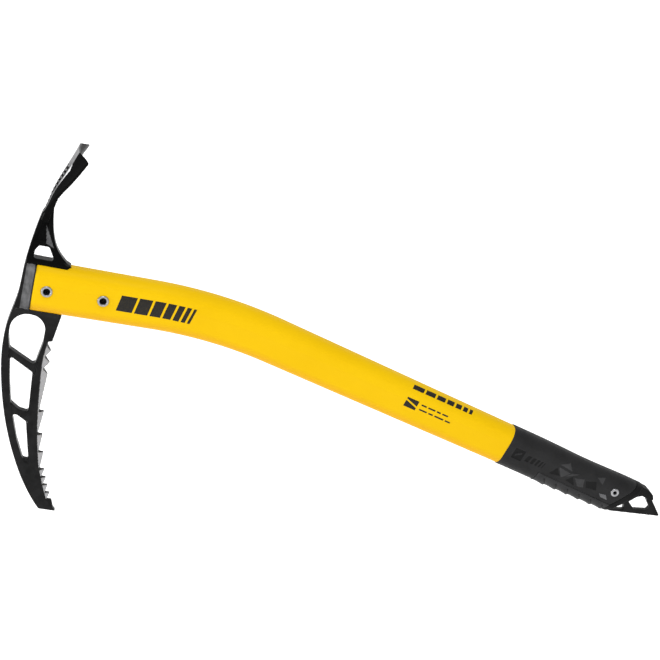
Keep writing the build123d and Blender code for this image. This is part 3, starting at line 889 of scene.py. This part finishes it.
def painted_fold_highlight():
    """Bright steel colour along the adze's folds: a painted highlight."""
    paint = Paint("painted_fold_highlight", metallic=0.2, specular=0.5)
    lines = paint.noise(1200, 3, 0.6, (1, 1, 5))
    paint.colour(paint.mix(paint.ramp(lines, 0.3, 0.7, 0, 1), (0.72, 0.72, 0.73), (0.86, 0.86, 0.87)))
    paint.roughness(paint.ramp(lines, 0.3, 0.7, 0.3, 0.45))
    return paint.material


def painted_flank_reflection():
    """The teeth's flanks in light satin grey with fine grinding lines: a painted reflection of the light on
    the coated flanks.
    """
    paint = Paint("painted_flank_reflection_grey", metallic=0.35, specular=0.4)
    lines = paint.noise(900, 3, 0.6, (1, 1, 6))
    paint.colour(paint.mix(paint.ramp(lines, 0.3, 0.7, 0, 1), (0.25, 0.25, 0.255), (0.42, 0.42, 0.43)))
    paint.roughness(paint.ramp(lines, 0.3, 0.7, 0.4, 0.6))
    paint.bump(lines, 0.2, 0.03)
    return paint.material


def yellow_coat():
    """Yellow coated aluminium: even satin colour with light scuffs, and painted shade that makes faces turned
    down darker and more orange.
    """
    paint = Paint("yellow_coat", specular=0.06)
    cloud = paint.ramp(paint.noise(22), 0.35, 0.65, 0, 1)
    body = paint.mix(cloud, (0.72, 0.44, 0.0006), (0.74, 0.46, 0.0012))
    scuffs = paint.ramp(paint.noise(300, 8, 0.7, (0.25, 1, 1)), 0.66, 0.78, 0, 0.5)
    # Painted shade: faces that turn down are darker and more orange.
    facing = paint.add("ShaderNodeSeparateXYZ")
    paint.link(paint.add("ShaderNodeNewGeometry").outputs["Normal"], facing.inputs["Vector"])
    underside_shade = paint.ramp(facing.outputs["Z"], -0.6, 0.0, 1, 0)
    shaded = paint.mix(underside_shade, body, (0.66, 0.35, 0.008))
    paint.colour(paint.mix(scuffs, shaded, (0.80, 0.54, 0.02)))
    paint.roughness(paint.ramp(paint.noise(90, 5), 0.3, 0.7, 0.40, 0.54))
    paint.bump(paint.noise(700, 2), 0.12, 0.04)
    return paint.material


def rubber(name, shade, specular=0.15):
    """Moulded rubber: fine stipple, faint bloom, and lighter sharp edges that are partly worn high spots and
    partly a painted highlight.
    """
    paint = Paint(name, specular=specular)
    body = paint.mix(paint.ramp(paint.noise(75), 0.35, 0.65, 0, 1), (shade, shade, shade * 1.04),
                     (shade * 1.5, shade * 1.5, shade * 1.56))
    # Sharp edges and ridges are painted lighter: partly wear, partly a painted highlight.
    paint.colour(paint.mix(paint.edges(0.52, 0.6), body, (shade * 2.6, shade * 2.6, shade * 2.7)))
    paint.roughness(paint.ramp(paint.noise(500, 5), 0.3, 0.7, 0.42, 0.62))
    paint.bump(paint.noise(3200, 2), 0.4, 0.05)
    return paint.material


def rivet_steel():
    """Turned stainless steel with fine rings of tool marks."""
    paint = Paint("rivet_steel", metallic=1.0)
    marks = paint.noise(1500, 4, 0.6, (1, 6, 1))
    paint.colour(paint.mix(paint.ramp(marks, 0.3, 0.7, 0, 1), (0.24, 0.24, 0.25), (0.40, 0.40, 0.41)))
    paint.roughness(paint.ramp(marks, 0.3, 0.7, 0.24, 0.4))
    paint.bump(marks, 0.15, 0.03)
    return paint.material


def painted_bore_shade():
    """The inside of a rivet, painted dark as painted shade in the bore, with some dirt."""
    paint = Paint("rivet_bore", specular=0.3)
    dirt = paint.ramp(paint.noise(900), 0.3, 0.7, 0, 1)
    paint.colour(paint.mix(dirt, (0.004, 0.004, 0.006), (0.02, 0.02, 0.024)))
    paint.roughness(paint.ramp(paint.noise(900), 0.3, 0.7, 0.5, 0.8))
    return paint.material


def print_ink():
    """Black printing ink with faint thin spots."""
    paint = Paint("print_ink", specular=0.25)
    thin_spots = paint.ramp(paint.noise(1400, 6), 0.45, 0.8, 0, 1)
    paint.colour(paint.mix(thin_spots, (0.006, 0.005, 0.004), (0.03, 0.022, 0.006)))
    paint.roughness(paint.ramp(paint.noise(400), 0.3, 0.7, 0.45, 0.6))
    return paint.material


# ---------------------------------------------------------------- camera, light and floor

def camera():
    """A long lens on the axe's side, turned in its own plane so that the shaft falls to the right."""
    azimuth, elevation, roll = math.radians(-12), math.radians(19), math.radians(13.59)
    distance, target = 1.05, Vector((0.1967, 0, 0.0031))
    back = Vector((math.sin(azimuth) * math.cos(elevation), -math.cos(azimuth) * math.cos(elevation),
                   math.sin(elevation)))
    level = (-back).cross(Vector((0, 0, 1))).normalized()
    upright = level.cross(-back)
    right = math.cos(roll) * level + math.sin(roll) * upright
    up = math.cos(roll) * upright - math.sin(roll) * level
    data = bpy.data.cameras.new("camera")
    data.lens, data.sensor_width = 85.75, 36
    data.clip_start, data.clip_end = 0.01, 100
    cam = bpy.data.objects.new("camera", data)
    bpy.context.scene.collection.objects.link(cam)
    turn = Matrix((right, up, back)).transposed().to_4x4()
    cam.matrix_world = Matrix.Translation(target + distance * back) @ turn
    bpy.context.scene.camera = cam


def area_light(name, place, target, size, power):
    """A round lamp that points at the target."""
    data = bpy.data.lights.new(name, "AREA")
    data.shape, data.size, data.energy = "DISK", size, power
    lamp = bpy.data.objects.new(name, data)
    bpy.context.scene.collection.objects.link(lamp)
    lamp.location = place
    lamp.rotation_mode = "QUATERNION"
    lamp.rotation_quaternion = (Vector(target) - Vector(place)).to_track_quat("-Z", "Y")


def sky():
    """An even white surround with a darker patch overhead, which gives black surfaces their depth."""
    world = bpy.data.worlds.new("studio")
    world.use_nodes = True
    tree = world.node_tree
    background = tree.nodes["Background"]
    background.inputs["Color"].default_value = (1, 1, 1, 1)
    direction = tree.nodes.new("ShaderNodeTexCoord").outputs["Generated"]
    toward = tree.nodes.new("ShaderNodeVectorMath")
    toward.operation = "DOT_PRODUCT"
    toward.inputs[1].default_value = Vector((0.1, -0.35, 0.93)).normalized()
    tree.links.new(direction, toward.inputs[0])
    shade = tree.nodes.new("ShaderNodeMapRange")
    for name, value in (("From Min", 0.78), ("From Max", 0.95), ("To Min", 0.85), ("To Max", 0.4)):
        shade.inputs[name].default_value = value
    tree.links.new(toward.outputs["Value"], shade.inputs["Value"])
    tree.links.new(shade.outputs["Result"], background.inputs["Strength"])
    bpy.context.scene.world = world


def studio():
    """Soft light from above and from the left, and a pale floor well below the axe."""
    low, high = cad_box
    middle = (low + high) / 2
    area_light("key", middle + Vector((-0.5, -0.8, 1.6)), middle, 1.0, 15)
    area_light("left", middle + Vector((-1.6, -0.35, -0.2)), middle, 0.5, 5)
    sky()
    bpy.context.scene.view_settings.view_transform = "Standard"
    bpy.ops.mesh.primitive_plane_add(size=80, location=(middle.x, 0, low.z - 0.14))
    floor = bpy.context.object
    floor.name = "floor"
    paint = Paint("floor", roughness=0.9, specular=0.1)
    paint.shader.inputs["Base Color"].default_value = (0.9, 0.9, 0.9, 1)
    paint.shader.inputs["Emission Color"].default_value = (1, 1, 1, 1)
    paint.shader.inputs["Emission Strength"].default_value = 0.6
    floor.data.materials.append(paint.material)


# ---------------------------------------------------------------- assembly

camera()
studio()
steel, bore = rivet_steel(), painted_bore_shade()
coat, dark_rubber = black_coat("head_coat"), rubber("dark_rubber", 0.004, 0.12)
# The head's finishes: the coat, a painted reflection on the teeth's flanks, painted shade, a painted
# highlight by the folds, and a painted light.
head(coat, painted_flank_reflection(), painted_shade_coat(), painted_fold_highlight(), black_coat("painted_light_coat", 0.035, 0.3))
shaft(yellow_coat())
shaft_prints(print_ink())
rivet("head_rivet_front", "rivet_front", RIVET_RING_R, RIVET_BORE_R, steel, bore)
rivet("head_rivet_rear", "rivet_rear", RIVET_RING_R, RIVET_BORE_R, steel, bore)
rivet("spike_rivet", "rivet_spike", SPIKE_RIVET_RING_R, SPIKE_RIVET_BORE_R, steel, bore)
grip(rubber("grip_rubber", 0.010), rubber("light_rubber", 0.026), dark_rubber, rubber("bright_rubber", 0.10))
finger_pad(rubber("pad_rubber", 0.022), dark_rubber)
plug(rubber("plug_nylon", 0.004, 0.1))
spike(black_coat("spike_coat", 0.0025, 0.12))
shim_paint = rubber("shim_nylon", 0.02)
for node in ("tang_shim_left", "tang_shim_right"):
    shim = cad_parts[node]
    shim.data.materials.clear()
    shim.data.materials.append(shim_paint)
